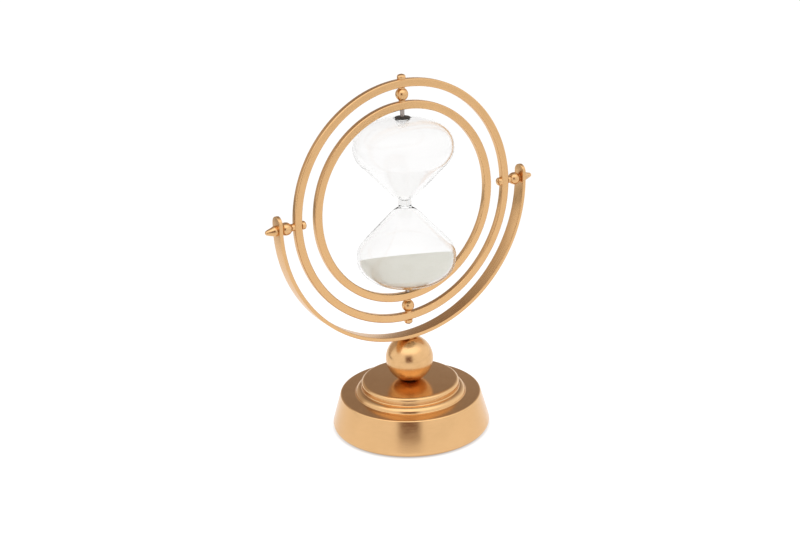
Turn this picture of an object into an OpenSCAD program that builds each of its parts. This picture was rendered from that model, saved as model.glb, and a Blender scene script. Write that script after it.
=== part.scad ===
// Gimbal hourglass for a table: a glass vial in two rings that turn in a half-ring yoke.
// Millimetres, Z up. The origin is the centre of the underside of the felt pad.
// The outer ring flips about X, and the inner ring with the glass turns about the Z axis.

/* [Base] */
// Radius of the base at its foot
base_r = 65.2; // [50:0.1:80]
// Height from the floor to the flat shoulder of the base
shoulder_z = 30; // [22:0.5:40]
// How far the skirt leans in between foot and shoulder
skirt_lean = 6.7; // [3:0.1:10]
// Radius of the raised centre disc
dais_r = 40.5; // [32:0.5:48]
// Height of the centre disc above the shoulder
dais_rise = 11; // [9:0.5:16]
// Rounding of the centre disc's upper edge
dais_edge = 2.8; // [1.5:0.1:3.2]
// Radius of the round bead at the foot of the centre disc
bead_r = 4.8; // [4:0.1:6]
// Height of the bead above the shoulder
bead_h = 4.4; // [3.5:0.1:5]
// Radius in the hollow corners above and below the bead
hollow_r = 0.8; // [0.4:0.1:1]
// Thickness of the spun metal sheet
sheet_t = 1.2; // [0.8:0.1:1.6]
// Radius of the rolled lower edge
foot_r = 3.6; // [2:0.1:4.5]
// Width of the inturned lip that holds the bottom plate
lip_w = 4; // [2:0.5:8]
// Height of the metal foot above the floor
foot_gap = 0.5; // [0.3:0.1:1]
// Thickness of the bottom plate
plate_t = 1; // [0.6:0.1:2]
// Free space round the weight inside the centre disc
weight_gap = 2.5; // [1:0.5:6]

/* [Stem] */
// Radius of the large ball
stem_ball_r = 19.6; // [15:0.1:24]
// Radius of the flats on the large ball
stem_seat_r = 6.4; // [5:0.1:8]
// Radius of the threaded stud
stud_r = 3; // [2.4:0.1:3.6]
// Metal left between the stud's end and the inner face of the yoke
stud_skin = 0.75; // [0.3:0.05:1.2]
// Height of the collar between ball and yoke
stem_collar_h = 1.2; // [1:0.1:4]
// Radius of the collar between ball and yoke
stem_collar_r = 5.2; // [4.6:0.1:6]
// Radius of the large washer under the weight
stem_washer_r = 10; // [7:0.5:14]
// Thickness of the large washer under the weight
stem_washer_t = 1.6; // [1:0.1:2.5]
// Height of the hex nut under the weight
stem_nut_h = 5; // [4:0.5:7]
// Width across flats of the hex nut
stem_nut_af = 10; // [9:0.5:13]
// Bare stud below the hex nut
stud_tail = 2; // [1:0.5:3]

/* [Yoke] */
// Radial thickness of the yoke strap
yoke_t = 3; // [2.7:0.1:5]
// Width of the yoke strap
yoke_w = 12; // [10:0.5:18]
// Height of the round ends' centres above the pivot
yoke_end_z = 5.3; // [2:0.1:10]

/* [Rings] */
// Outer radius of the outer ring
ring_r = 100; // [85:1:125]
// Radial width of both rings
ring_w = 6.5; // [5:0.1:9]
// Thickness of both rings from front to back
ring_t = 5.2; // [4.6:0.1:8]
// Rounding of the rings' edges
ring_edge = 1; // [0.4:0.1:1.4]

/* [Pivots] */
// Radius of the small spacer balls
ball_r = 5.15; // [4:0.05:6.5]
// Radius of the flats on the small balls
ball_seat_r = 2.4; // [2.2:0.1:3]
// Radius of the steel rods and pins
rod_r = 1.75; // [1.4:0.05:2.1]
// Length of the collar between outer ring and side ball
collar_l = 2.6; // [1.5:0.1:5]
// Radius of the collar between outer ring and side ball
collar_r = 2.9; // [2.5:0.1:3.5]
// Thickness of the washer between side ball and yoke
side_washer_t = 0.5; // [0.3:0.1:1.5]
// Thickness of the washers beside the top and bottom balls
axle_washer_t = 1.1; // [0.4:0.1:2]
// Radius of all small washers
washer_r = 2.6; // [2.4:0.1:3.2]
// Radius of the dome nuts
nut_r = 3.4; // [2.8:0.1:4]
// Height of the dome nuts
nut_h = 4; // [3:0.1:5]
// Radius of the cap nuts outside the yoke
cap_r = 4.1; // [3.2:0.1:5]
// Length of the cap nuts
cap_l = 9.5; // [8:0.1:13]
// Radial clearance of the turning fits
run_gap = 0.06; // [0.03:0.01:0.1]
// Side clearance of the turning fits
side_gap = 0.06; // [0.04:0.01:0.15]

/* [Glass] */
// Bare pin between inner ring and rubber cup
end_gap = 5.9; // [3:0.1:10]
// Largest radius of the bulbs
bulb_r = 40; // [30:0.1:48]
// Height of a bulb's dome above its widest place
crown_h = 23.8; // [18:0.1:30]
// Radius of the turn from the cone into the dome
turn_r = 16.5; // [10:0.5:20]
// Exponent of the dome's curve, where 2 is an ellipse
crown_power = 2.3; // [2:0.1:3]
// Outer radius of the neck
neck_r = 5.1; // [4.5:0.1:7]
// Half the length of the neck
neck_l = 3.9; // [3:0.1:6]
// Radius at which the rounded shoulder beside the neck runs into the cone
neck_turn_r = 12.5; // [10:0.1:16]
// Height of that shoulder
neck_turn_h = 5.2; // [4:0.1:7]
// Radius of the hole that the sand runs through
orifice_r = 1.2; // [0.6:0.1:1.8]
// Wall thickness of the glass
glass_t = 1.6; // [1:0.1:2.2]
// Radius of the wells in the glass ends
well_r = 3.4; // [3.2:0.1:4.6]
// Depth of the wells in the glass ends
well_h = 6; // [5:0.1:9]
// Radius of the rubber cups' flanges
cup_r = 6.2; // [5.7:0.1:8]
// Thickness of the rubber cups' flanges
cup_t = 1.2; // [1:0.1:3]
// Length of the rubber cups' plugs in the wells
plug_l = 1.5; // [1:0.1:3]
// Rubber left below the pin's end
cup_floor = 0.9; // [0.6:0.1:1.5]

/* [Sand] */
// Distance of the sand's surface below the neck, on the axis
sand_depth = 46; // [38:0.5:56]
// Slope of the sand's surface
sand_slope = 23; // [0:1:30]
// Direction of the sand's high side, from the X axis
sand_turn = -112; // [-180:1:180]
// Space between sand and glass
sand_gap = 0.1; // [0.05:0.05:0.3]

/* [Hidden] */
$fn = 96;

GOLD = [0.87, 0.68, 0.45];
STEEL = [0.62, 0.60, 0.58];
IRON = [0.25, 0.25, 0.26];
RUBBER = [0.08, 0.08, 0.08];
FELT = [0.10, 0.10, 0.11];
GLASS = [0.85, 0.92, 0.95, 0.35];
SAND = [0.93, 0.92, 0.89];

// Clearance of holes round fixed rods
fit_gap = 0.05;
// Depth of the flats where nuts, collars and washers seat on curved metal
seat_cut = 0.15;
// Radius of those flats beyond the piece that seats on them
seat_margin = 0.4;
// Length by which cutting tools run past a face
over = 1;
// Rounding of the corner between the walls and the floor of the glass wells
well_turn = 3;

// Rounding of the shoulder's edge
edge_r = 1.5;
// Distance of the bead's centre outside the side of the centre disc
bead_set = 0.5;

// Base heights, from the floor
dais_z = shoulder_z + dais_rise;
plate_z = foot_gap + sheet_t;
plate_r = base_r - foot_r - 0.2;
felt_r = base_r - foot_r - lip_w - 0.5;
shoulder_r = base_r - skirt_lean;
stud_end_z = plate_z + plate_t + 1;
nut_z = stud_end_z + stud_tail;
washer_z = nut_z + stem_nut_h;
weight_z = washer_z + stem_washer_t;
weight_h = dais_z - sheet_t - weight_z;
weight_r = dais_r - sheet_t - weight_gap;

// Stem: the flats of the ball set its height between the dais and the collar
stem_ball_h = 2 * sqrt(pow(stem_ball_r, 2) - pow(stem_seat_r, 2));
collar_z = dais_z + stem_ball_h;
yoke_seat_z = collar_z + stem_collar_h;
stud_grip = yoke_t - seat_cut - stud_skin;

// Small balls, and the gaps that they and their washers fill between the rings and the yoke
ball_h = 2 * sqrt(pow(ball_r, 2) - pow(ball_seat_r, 2));
side_stack = collar_l + ball_h + side_washer_t + side_gap;
axle_stack = 2 * axle_washer_t + ball_h + side_gap;
ring_in = ring_r - ring_w;
inner_r = ring_in + 2 * seat_cut - axle_stack;
inner_in = inner_r - ring_w;
yoke_in = ring_r - 2 * seat_cut + side_stack;
yoke_r = yoke_in + yoke_t;
ring_z = yoke_seat_z - seat_cut + yoke_r;

// Places along X, measured out from the rings' centre
nut_seat_x = ring_in + seat_cut;
collar_x = ring_r - seat_cut;
side_ball_x = collar_x + collar_l + ball_h / 2;
side_washer_x = side_ball_x + ball_h / 2;
cap_x = yoke_r - seat_cut + side_gap;
cap_bore = cap_l / 2;
nut_bore = nut_h - 1.3;

// Places along Z, measured up or down from the rings' centre
inner_washer_z = inner_r - seat_cut;
axle_ball_z = inner_washer_z + axle_washer_t + ball_h / 2;
outer_washer_z = axle_ball_z + ball_h / 2;
axle_nut_z = ring_r - seat_cut + side_gap;
cup_z = inner_in - end_gap;
glass_z = cup_z - cup_t;
plug_end_z = glass_z - plug_l;
pin_end_z = plug_end_z + cup_floor;

// Points of an arc about (x, z), from angle a0 to angle a1
function arc(x, z, r, a0, a1, n) =
    [for (i = [0:n]) let (a = a0 + (a1 - a0) * i / n) [x + r * cos(a), z + r * sin(a)]];

function reversed(p) = [for (i = [len(p) - 1:-1:0]) p[i]];

// The outline of the lower half, without the point that both halves share
function flipped(p) = [for (q = reversed(p)) if (q[1] > 0) [q[0], -q[1]]];

// Direction from which a line from point p touches a circle about c on its outer side
function touch_angle(p, c, r) =
    atan2(c[0] - p[0], c[1] - p[1]) + asin(r / norm(c - p));

// Points of a curve from p to q that leaves towards point c and arrives from it
function bend(p, c, q, n) =
    [for (i = [0:n]) let (t = i / n) (1 - t) * (1 - t) * p + 2 * t * (1 - t) * c + t * t * q];

// Base sheet from the inturned lip to the centre, moved in by d for its inner face
function base_line(d) =
    let (lean = atan2(skirt_lean, shoulder_z - foot_gap))
    let (bead_x = dais_r + bead_set)
    let (bead_z = shoulder_z + bead_h - bead_r)
    let (reach = bead_r + hollow_r)
    let (low_turn = asin((shoulder_z + hollow_r - bead_z) / reach))
    let (high_turn = acos((hollow_r - bead_set) / reach))
    concat(
        [[base_r - foot_r - lip_w, foot_gap + d]],
        arc(base_r - foot_r, foot_gap + foot_r, foot_r - d, -90, lean, 8),
        arc(shoulder_r - edge_r, shoulder_z - edge_r, edge_r - d, lean, 90, 6),
        arc(bead_x + reach * cos(low_turn), shoulder_z + hollow_r, hollow_r + d,
            270, 180 + low_turn, 4),
        arc(bead_x, bead_z, bead_r - d, low_turn, high_turn, 10),
        arc(dais_r + hollow_r, bead_z + reach * sin(high_turn), hollow_r + d,
            180 + high_turn, 180, 4),
        arc(dais_r - dais_edge, dais_z - dais_edge, dais_edge - d, 0, 90, 6)
    );

// Half outline of the vial above its middle, moved in by d for the inside of the wall.
// From the neck's corner at corner_z it goes over a rounded shoulder, up a straight cone and
// round the turn to the widest place, and then over the dome.
function bulb_line(d, neck, corner_z) =
    let (widest_z = glass_z - crown_h)
    let (c = [bulb_r - turn_r, widest_z])
    let (top = [neck_turn_r, neck_l + neck_turn_h])
    let (a = touch_angle(top, c, turn_r))
    let (p = top + d * [-cos(a), sin(a)])
    concat(
        [[neck, 0], [neck + 0.1, corner_z * 0.6]],
        bend([neck + 0.6, corner_z], p - (neck_turn_h - d) * [sin(a), cos(a)], p, 6),
        arc(c[0], c[1], turn_r - d, -a, 0, 10),
        [for (i = [1:12]) let (t = 7 * i)
            [(bulb_r - d) * pow(cos(t), 2 / crown_power),
                widest_z + (crown_h - d) * pow(sin(t), 2 / crown_power)]]
    );

// Outside of the glass, from the middle of the neck to the floor of the upper well
function glass_outer() =
    let (rim = 1.2)
    concat(
        [for (p = bulb_line(0, neck_r, neck_l)) if (p[0] > well_r + rim || p[1] < neck_l + 1) p],
        arc(well_r + rim, glass_z - rim, rim, 90, 180, 4),
        arc(well_r - well_turn, glass_z - well_h + well_turn, well_turn, 0, -90, 6),
        [[0, glass_z - well_h]]
    );

// Inside of the glass, from the orifice to the axis below the well, moved in by d
function glass_inner(d) =
    let (w = glass_t + d)
    let (well_wall = well_r + w)
    concat(
        [for (p = bulb_line(w, orifice_r - d, neck_l * 0.6))
            if (p[0] > well_wall + 1 || p[1] < neck_l + 1) p],
        [[well_wall + 1, glass_z - w], [well_wall, glass_z - w - 1]],
        arc(well_r - well_turn, glass_z - well_h + well_turn, well_turn + w, 0, -90, 6),
        [[0, glass_z - well_h - w]]
    );

// Rectangle with rounded corners
module rounded_box(w, h, r) {
    x = w / 2 - r;
    z = h / 2 - r;
    polygon(concat(arc(x, z, r, 0, 90, 4), arc(-x, z, r, 90, 180, 4),
        arc(-x, -z, r, 180, 270, 4), arc(x, -z, r, 270, 360, 4)));
}

// Turned piece standing on the XY plane, with a blind hole of depth bore in its foot
module turned_cap(outline, bore) {
    difference() {
        rotate_extrude() polygon(concat([[0, 0]], outline));
        translate([0, 0, -over]) cylinder(h = bore + over, r = rod_r);
    }
}

// Flat ring standing on the XY plane
module washer(r, h, hole) {
    difference() {
        cylinder(h = h, r = r);
        translate([0, 0, -over]) cylinder(h = h + 2 * over, r = hole);
    }
}

// Ball with two flats and a hole, centred on the origin
module bored_ball(r, h, hole) {
    difference() {
        intersection() {
            sphere(r);
            cube([3 * r, 3 * r, h], center = true);
        }
        cylinder(h = 3 * r, r = hole, center = true);
    }
}

// Frames of the pieces: at the rings' centre, out along X, and up or down along Z
module at_rings() translate([0, 0, ring_z]) children();
module along_x(side, x) at_rings() rotate([0, 90 * side, 0]) translate([0, 0, x]) children();
module along_z(side, z) at_rings() rotate([side > 0 ? 0 : 180, 0, 0]) translate([0, 0, z]) children();

// Hole through a ring or strap, with a flat seat outside and inside it
module seated_hole(r_in, r_out, hole, seat) {
    translate([0, 0, r_in - over]) cylinder(h = r_out - r_in + 2 * over, r = hole);
    translate([0, 0, r_out - seat_cut]) cylinder(h = over, r = seat + seat_margin);
    translate([0, 0, r_in + seat_cut - over]) cylinder(h = over, r = seat + seat_margin);
}

module ring(r) {
    rotate([90, 0, 0]) rotate_extrude()
        translate([r - ring_w / 2, 0]) rounded_box(ring_w, ring_t, ring_edge);
}

// Stand

module base_shell() {
    color(GOLD) difference() {
        rotate_extrude() polygon(concat(base_line(0), [[0, dais_z], [0, dais_z - sheet_t]],
            reversed(base_line(sheet_t))));
        translate([0, 0, dais_z - sheet_t - over])
            cylinder(h = sheet_t + 2 * over, r = stud_r + fit_gap);
    }
}

module base_weight() {
    color(IRON) translate([0, 0, weight_z]) washer(weight_r, weight_h, stud_r + fit_gap);
}

module base_plate() {
    color(STEEL) translate([0, 0, plate_z]) cylinder(h = plate_t, r = plate_r);
}

module felt_pad() {
    color(FELT) cylinder(h = plate_z, r = felt_r);
}

module stem_stud() {
    color(STEEL) translate([0, 0, stud_end_z])
        cylinder(h = yoke_seat_z + stud_grip - stud_end_z, r = stud_r);
}

module stem_washer() {
    color(STEEL) translate([0, 0, washer_z])
        washer(stem_washer_r, stem_washer_t, stud_r + fit_gap);
}

module stem_nut() {
    color(STEEL) translate([0, 0, nut_z]) difference() {
        cylinder(h = stem_nut_h, r = stem_nut_af / 2 / cos(30), $fn = 6);
        translate([0, 0, -over]) cylinder(h = stem_nut_h + 2 * over, r = stud_r + fit_gap);
    }
}

module stem_ball() {
    color(GOLD) translate([0, 0, dais_z + stem_ball_h / 2])
        bored_ball(stem_ball_r, stem_ball_h, stud_r + fit_gap);
}

module stem_collar() {
    color(GOLD) translate([0, 0, collar_z]) washer(stem_collar_r, stem_collar_h, stud_r + fit_gap);
}

module yoke() {
    color(GOLD) difference() {
        at_rings() {
            rotate([90, 0, 0]) rotate([0, 0, 180]) rotate_extrude(angle = 180)
                translate([yoke_in + yoke_t / 2, 0]) square([yoke_t, yoke_w], center = true);
            for (side = [-1, 1]) {
                translate([side * (yoke_in + yoke_t / 2), 0, yoke_end_z / 2])
                    cube([yoke_t, yoke_w, yoke_end_z], center = true);
                translate([side * (yoke_in + yoke_t / 2), 0, yoke_end_z]) rotate([0, 90, 0])
                    cylinder(h = yoke_t, r = yoke_w / 2, center = true);
            }
        }
        for (side = [-1, 1])
            along_x(side, 0) seated_hole(yoke_in, yoke_r, rod_r + run_gap, cap_r);
        translate([0, 0, yoke_seat_z - over])
            cylinder(h = over, r = stem_collar_r + seat_margin);
        translate([0, 0, yoke_seat_z - over])
            cylinder(h = stud_grip + over, r = stud_r + fit_gap);
    }
}

// Outer ring and the pieces on its two pivots

module outer_ring() {
    color(GOLD) difference() {
        at_rings() ring(ring_r);
        for (side = [-1, 1]) {
            along_x(side, 0) seated_hole(ring_in, ring_r, rod_r + fit_gap, nut_r);
            along_z(side, 0) seated_hole(ring_in, ring_r, rod_r + run_gap, nut_r);
        }
    }
}

module pivot_rod(side) {
    start = nut_seat_x - nut_bore;
    color(STEEL) along_x(side, start) cylinder(h = cap_x + cap_bore - start, r = rod_r);
}

module dome_nut() {
    drum = nut_h * 0.55;
    turned_cap(concat([[nut_r - 0.3, 0], [nut_r, 0.3], [nut_r, drum]],
        [for (t = [10:10:90]) [nut_r * cos(t), drum + (nut_h - drum) * sin(t)]]), nut_bore);
}

module pivot_nut(side) {
    color(GOLD) along_x(side, nut_seat_x) mirror([0, 0, 1]) dome_nut();
}

module pivot_collar(side) {
    color(GOLD) along_x(side, collar_x) washer(collar_r, collar_l, rod_r + fit_gap);
}

module pivot_ball(side) {
    color(GOLD) along_x(side, side_ball_x) bored_ball(ball_r, ball_h, rod_r + fit_gap);
}

module pivot_washer(side) {
    color(GOLD) along_x(side, side_washer_x) washer(washer_r, side_washer_t, rod_r + fit_gap);
}

// Turned cap: a round foot, a cone and a round tip
module cap_nut(side) {
    tip_r = cap_r / 2;
    foot = cap_l * 0.3;
    lean = 20;
    color(GOLD) along_x(side, cap_x) turned_cap(concat([[cap_r - 0.4, 0], [cap_r, 0.4]],
        arc(cap_r - 1, foot - 1, 1, 0, 90 - lean * 2, 4),
        arc(0, cap_l - tip_r, tip_r, lean, 90, 6)), cap_bore);
}

// Inner ring, the two axles and the glass

module inner_ring() {
    color(GOLD) difference() {
        at_rings() ring(inner_r);
        for (side = [-1, 1])
            along_z(side, 0) seated_hole(inner_in, inner_r, rod_r + fit_gap, washer_r);
    }
}

module axle_pin(side) {
    color(STEEL) along_z(side, pin_end_z)
        cylinder(h = axle_nut_z + nut_bore - pin_end_z, r = rod_r);
}

module axle_nut(side) {
    color(GOLD) along_z(side, axle_nut_z) dome_nut();
}

module axle_ball(side) {
    color(GOLD) along_z(side, axle_ball_z) bored_ball(ball_r, ball_h, rod_r + fit_gap);
}

module axle_washer(side, z) {
    color(GOLD) along_z(side, z) washer(washer_r, axle_washer_t, rod_r + fit_gap);
}

module rubber_cup(side) {
    edge = 0.4;
    plug_r = well_r - fit_gap;
    color(RUBBER) along_z(side, 0) difference() {
        rotate_extrude() polygon(concat(
            [[0, plug_end_z]],
            arc(plug_r - edge, plug_end_z + edge, edge, -90, 0, 3),
            [[plug_r, glass_z], [cup_r - edge, glass_z]],
            arc(cup_r - edge, glass_z + edge, edge, -90, 0, 3),
            arc(cup_r - edge, cup_z - edge, edge, 0, 90, 3),
            [[0, cup_z]]));
        translate([0, 0, pin_end_z]) cylinder(h = cup_z - pin_end_z + over, r = rod_r);
    }
}

module glass_vial() {
    color(GLASS) at_rings() difference() {
        rotate_extrude() polygon(concat(flipped(glass_outer()), glass_outer()));
        rotate_extrude() polygon(concat(flipped(glass_inner(0)), glass_inner(0)));
    }
}

module sand() {
    span = 4 * bulb_r;
    color(SAND) at_rings() difference() {
        rotate_extrude() polygon(concat(flipped(glass_inner(sand_gap)), [[0, 0]]));
        translate([0, 0, -sand_depth]) rotate([0, 0, sand_turn]) rotate([0, -sand_slope, 0])
            translate([-span / 2, -span / 2, 0]) cube(span);
    }
}

base_shell();
base_weight();
base_plate();
felt_pad();
stem_stud();
stem_washer();
stem_nut();
stem_ball();
stem_collar();
yoke();
outer_ring();
pivot_rod(-1);  // pivot_rod_left
pivot_rod(1);  // pivot_rod_right
pivot_nut(-1);  // pivot_nut_left
pivot_nut(1);  // pivot_nut_right
pivot_collar(-1);  // pivot_collar_left
pivot_collar(1);  // pivot_collar_right
pivot_ball(-1);  // pivot_ball_left
pivot_ball(1);  // pivot_ball_right
pivot_washer(-1);  // pivot_washer_left
pivot_washer(1);  // pivot_washer_right
cap_nut(-1);  // cap_nut_left
cap_nut(1);  // cap_nut_right
inner_ring();
axle_pin(1);  // axle_pin_top
axle_pin(-1);  // axle_pin_bottom
axle_nut(1);  // axle_nut_top
axle_nut(-1);  // axle_nut_bottom
axle_ball(1);  // axle_ball_top
axle_ball(-1);  // axle_ball_bottom
axle_washer(1, inner_washer_z);  // axle_inner_washer_top
axle_washer(-1, inner_washer_z);  // axle_inner_washer_bottom
axle_washer(1, outer_washer_z);  // axle_outer_washer_top
axle_washer(-1, outer_washer_z);  // axle_outer_washer_bottom
rubber_cup(1);  // rubber_cup_top
rubber_cup(-1);  // rubber_cup_bottom
glass_vial();
sand();
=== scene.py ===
"""Gimbal hourglass: the looks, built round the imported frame.

Every piece is a surface worked out with numpy in metres, with Z up, in the place that its CAD node has.
Turned parts are lathed outlines, and the yoke is a strap carried along its path.
"""

import math

import bmesh
import bpy
import numpy as np
from mathutils import Matrix, Vector


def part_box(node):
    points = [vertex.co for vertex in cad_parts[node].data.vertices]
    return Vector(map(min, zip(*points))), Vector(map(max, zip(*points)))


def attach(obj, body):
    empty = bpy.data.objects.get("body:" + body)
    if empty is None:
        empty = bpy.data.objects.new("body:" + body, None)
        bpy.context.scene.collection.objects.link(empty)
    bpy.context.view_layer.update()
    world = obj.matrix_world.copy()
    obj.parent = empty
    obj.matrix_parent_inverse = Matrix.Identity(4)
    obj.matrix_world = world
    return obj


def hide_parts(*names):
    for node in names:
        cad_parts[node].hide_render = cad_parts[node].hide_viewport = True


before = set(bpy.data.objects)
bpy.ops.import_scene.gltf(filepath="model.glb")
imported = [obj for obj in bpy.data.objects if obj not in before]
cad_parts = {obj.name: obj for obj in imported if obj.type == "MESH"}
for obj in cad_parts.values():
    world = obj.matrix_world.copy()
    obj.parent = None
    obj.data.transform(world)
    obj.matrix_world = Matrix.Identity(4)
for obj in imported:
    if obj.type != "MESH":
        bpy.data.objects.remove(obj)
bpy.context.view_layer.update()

MM = 0.001
SMALL_TURNS = 72
LARGE_TURNS = 256

# ---------------------------------------------------------------- places and sizes from the frame


def middle(node):
    """Centre of a CAD node's box."""
    low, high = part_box(node)
    return (low + high) / 2


def span(node):
    """Size of a CAD node's box."""
    low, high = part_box(node)
    return high - low


# Flats under the nuts take this much off the rings' boxes
FLAT_LOSS = 0.07 * MM

HUB = middle("glass_vial")
RING_R = span("outer_ring").x / 2 + FLAT_LOSS
INNER_R = span("inner_ring").x / 2
RING_T = span("outer_ring").y
RING_W = 6.5 * MM
RING_EDGE = 1.0 * MM
# Free space round a rod or stud in its bore, and round a plug in its well
BORE_GAP = 0.05 * MM

# ---------------------------------------------------------------- outlines


def arc(x, z, r, start, end, steps=10):
    """Points (x + r cos a, z + r sin a), with a going evenly from start to end, in degrees."""
    a = np.radians(np.linspace(start, end, steps + 1))
    return np.stack([x + r * np.cos(a), z + r * np.sin(a)], axis=1)


def outline(*parts):
    """One outline from arcs and single points, in the order given."""
    return np.concatenate([np.atleast_2d(np.array(p, float)) for p in parts])


def unit(v):
    """The vector at length 1."""
    return v / np.linalg.norm(v)


def rounded(corners, steps=5, closed=False):
    """Outline through corners (x, z, radius), each one an arc that touches its two sides.

    The arc's centre lies on the corner's bisector, at radius / sin(half the corner's angle).
    An open outline keeps its two end points as they are.
    """
    c = np.array(corners, float)
    if closed:
        c = np.concatenate([c[-1:], c, c[:1]])
    parts = [] if closed else [c[0, :2]]
    for before, here, after in zip(c[:-2], c[1:-1], c[2:]):
        u = unit(before[:2] - here[:2])
        w = unit(after[:2] - here[:2])
        half = math.acos(float(np.clip(u @ w, -1, 1))) / 2
        reach = here[2] / math.tan(half)
        centre = here[:2] + unit(u + w) * here[2] / math.sin(half)
        a0 = math.atan2(*(here[:2] + u * reach - centre)[::-1])
        a1 = math.atan2(*(here[:2] + w * reach - centre)[::-1])
        turn = (a1 - a0 + math.pi) % (2 * math.pi) - math.pi
        parts.append(arc(*centre, here[2], math.degrees(a0), math.degrees(a0 + turn), steps))
    if not closed:
        parts.append(c[-1, :2])
    return outline(*parts)


# ---------------------------------------------------------------- surfaces


def grid_faces(rows, columns, wrap_rows):
    """Quads between neighbouring points of a grid whose columns close on themselves."""
    i = np.arange(rows if wrap_rows else rows - 1)[:, None]
    j = np.arange(columns)[None, :]
    k = (j + 1) % columns
    n = (i + 1) % rows
    quads = np.stack([i * columns + j, i * columns + k, n * columns + k, n * columns + j], axis=2)
    return quads.reshape(-1, 4)


def volume(points, quads, tris):
    """Signed volume: a sixth of the sum of a . (b x c) over all triangles."""
    t = np.concatenate([quads[:, [0, 1, 2]], quads[:, [0, 2, 3]], tris])
    a, b, c = points[t[:, 0]], points[t[:, 1]], points[t[:, 2]]
    return float(np.einsum("ij,ij->i", a, np.cross(b, c)).sum()) / 6


def facing(surface, outward=True):
    """The surface with its faces turned outwards, or inwards for the wall of a cavity."""
    points, quads, tris = surface
    if (volume(points, quads, tris) > 0) != outward:
        quads, tris = quads[:, ::-1], tris[:, ::-1]
    return points, quads, tris


def lathe(points, turns=SMALL_TURNS):
    """Surface of revolution: outline point (r, z) at angle a lies at (r cos a, r sin a, z).

    An outline that starts and ends on the axis closes at two poles. Any other closes on itself.
    """
    on_axis = points[:, 0] < 1e-9
    body = points[~on_axis]
    a = np.linspace(0, 2 * np.pi, turns, endpoint=False)
    flat = np.repeat(body[:, 1:], turns, axis=1)
    verts = np.stack([body[:, :1] * np.cos(a), body[:, :1] * np.sin(a), flat], axis=2).reshape(-1, 3)
    quads = grid_faces(len(body), turns, not on_axis.any())
    tris = np.zeros((0, 3), int)
    if on_axis.any():
        pole = len(verts)
        last = pole - turns
        j = np.arange(turns)
        k = (j + 1) % turns
        verts = np.concatenate([verts, [[0, 0, points[0, 1]], [0, 0, points[-1, 1]]]])
        bottom = np.stack([np.full(turns, pole), k, j], axis=1)
        top = np.stack([np.full(turns, pole + 1), last + j, last + k], axis=1)
        tris = np.concatenate([bottom, top])
    return facing((verts, quads, tris))


def joined(*surfaces):
    """Several surfaces as one."""
    points, quads, tris = [], [], []
    count = 0
    for p, q, t in surfaces:
        points.append(p)
        quads.append(q + count)
        tris.append(t + count)
        count += len(p)
    return np.concatenate(points), np.concatenate(quads), np.concatenate(tris)


def placed(surface, origin, axis=(0, 0, 1)):
    """The surface turned so that its own Z runs along axis, and moved to origin."""
    points, quads, tris = surface
    turn = np.array(Vector((0, 0, 1)).rotation_difference(Vector(axis)).to_matrix())
    return points @ turn.T + np.array(origin), quads, tris


def make(name, surface, body, material, replaced, soft_angle=35):
    """One Blender piece from a surface, riding on a body and standing for CAD nodes."""
    points, quads, tris = surface
    mesh = bpy.data.meshes.new(name)
    mesh.from_pydata(points.tolist(), [], quads.tolist() + tris.tolist())
    mesh.validate()
    mesh.polygons.foreach_set("use_smooth", np.ones(len(mesh.polygons), bool))
    mesh.set_sharp_from_angle(angle=math.radians(soft_angle))
    mesh.materials.append(material)
    piece = bpy.data.objects.new(name, mesh)
    bpy.context.scene.collection.objects.link(piece)
    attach(piece, body)
    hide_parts(*replaced)
    return piece


# ---------------------------------------------------------------- materials


def shader(name, finish, **values):
    """A new material with its finish in words and its Principled shader's own sockets set."""
    material = bpy.data.materials.new(name)
    material.use_nodes = True
    tree = material.node_tree
    principled = tree.nodes["Principled BSDF"]
    for socket, value in values.items():
        principled.inputs[socket.replace("_", " ")].default_value = value
    material["finish"] = finish
    return material, tree, principled


def node(tree, kind, settings=None, **inputs):
    """A node of that kind, with its settings, and inputs that are values or other nodes' outputs."""
    new = tree.nodes.new(kind)
    for key, value in (settings or {}).items():
        setattr(new, key, value)
    for key, value in inputs.items():
        socket = new.inputs[int(key[1:])] if key[0] == "i" and key[1:].isdigit() else new.inputs[key]
        if isinstance(value, bpy.types.NodeSocket):
            tree.links.new(value, socket)
        else:
            socket.default_value = value
    return new


def math_node(tree, operation, a, b=0.0):
    """The result of one Math node."""
    return node(tree, "ShaderNodeMath", {"operation": operation}, i0=a, i1=b).outputs[0]


def object_place(tree, centre=(0, 0, 0), turn=(0, 0, 0)):
    """Object coordinates moved to centre and turned."""
    coordinates = tree.nodes.new("ShaderNodeTexCoord").outputs["Object"]
    settings = {"vector_type": "TEXTURE"}
    return node(tree, "ShaderNodeMapping", settings, Vector=coordinates, Location=centre,
                Rotation=turn).outputs[0]


def remap(tree, value, low, high, new_low, new_high):
    """The value taken from low..high to new_low..new_high, and held there past the ends."""
    return node(tree, "ShaderNodeMapRange", {"clamp": True}, Value=value, i1=low, i2=high,
                i3=new_low, i4=new_high).outputs[0]


def product(tree, first, *others):
    """All the values multiplied."""
    for other in others:
        first = math_node(tree, "MULTIPLY", first, other)
    return first


def bump(tree, height, distance, strength):
    """A normal that follows height, where 1 stands out by distance."""
    return node(tree, "ShaderNodeBump", None, Height=height, Distance=distance,
                Strength=strength).outputs[0]


def colour_mix(tree, factor, a, b):
    """Colour a where factor is 0 and b where it is 1."""
    mix = node(tree, "ShaderNodeMix", {"data_type": "RGBA"})
    tree.links.new(factor, mix.inputs[0])
    for socket, colour in ((mix.inputs[6], a), (mix.inputs[7], b)):
        if isinstance(colour, bpy.types.NodeSocket):
            tree.links.new(colour, socket)
        else:
            socket.default_value = (*colour, 1)
    return mix.outputs[2]


# The gold plate's colour, which wanders a little between two tones
GOLD_LIGHT = (0.72, 0.445, 0.215)
GOLD_DEEP = (0.66, 0.40, 0.185)


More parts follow.
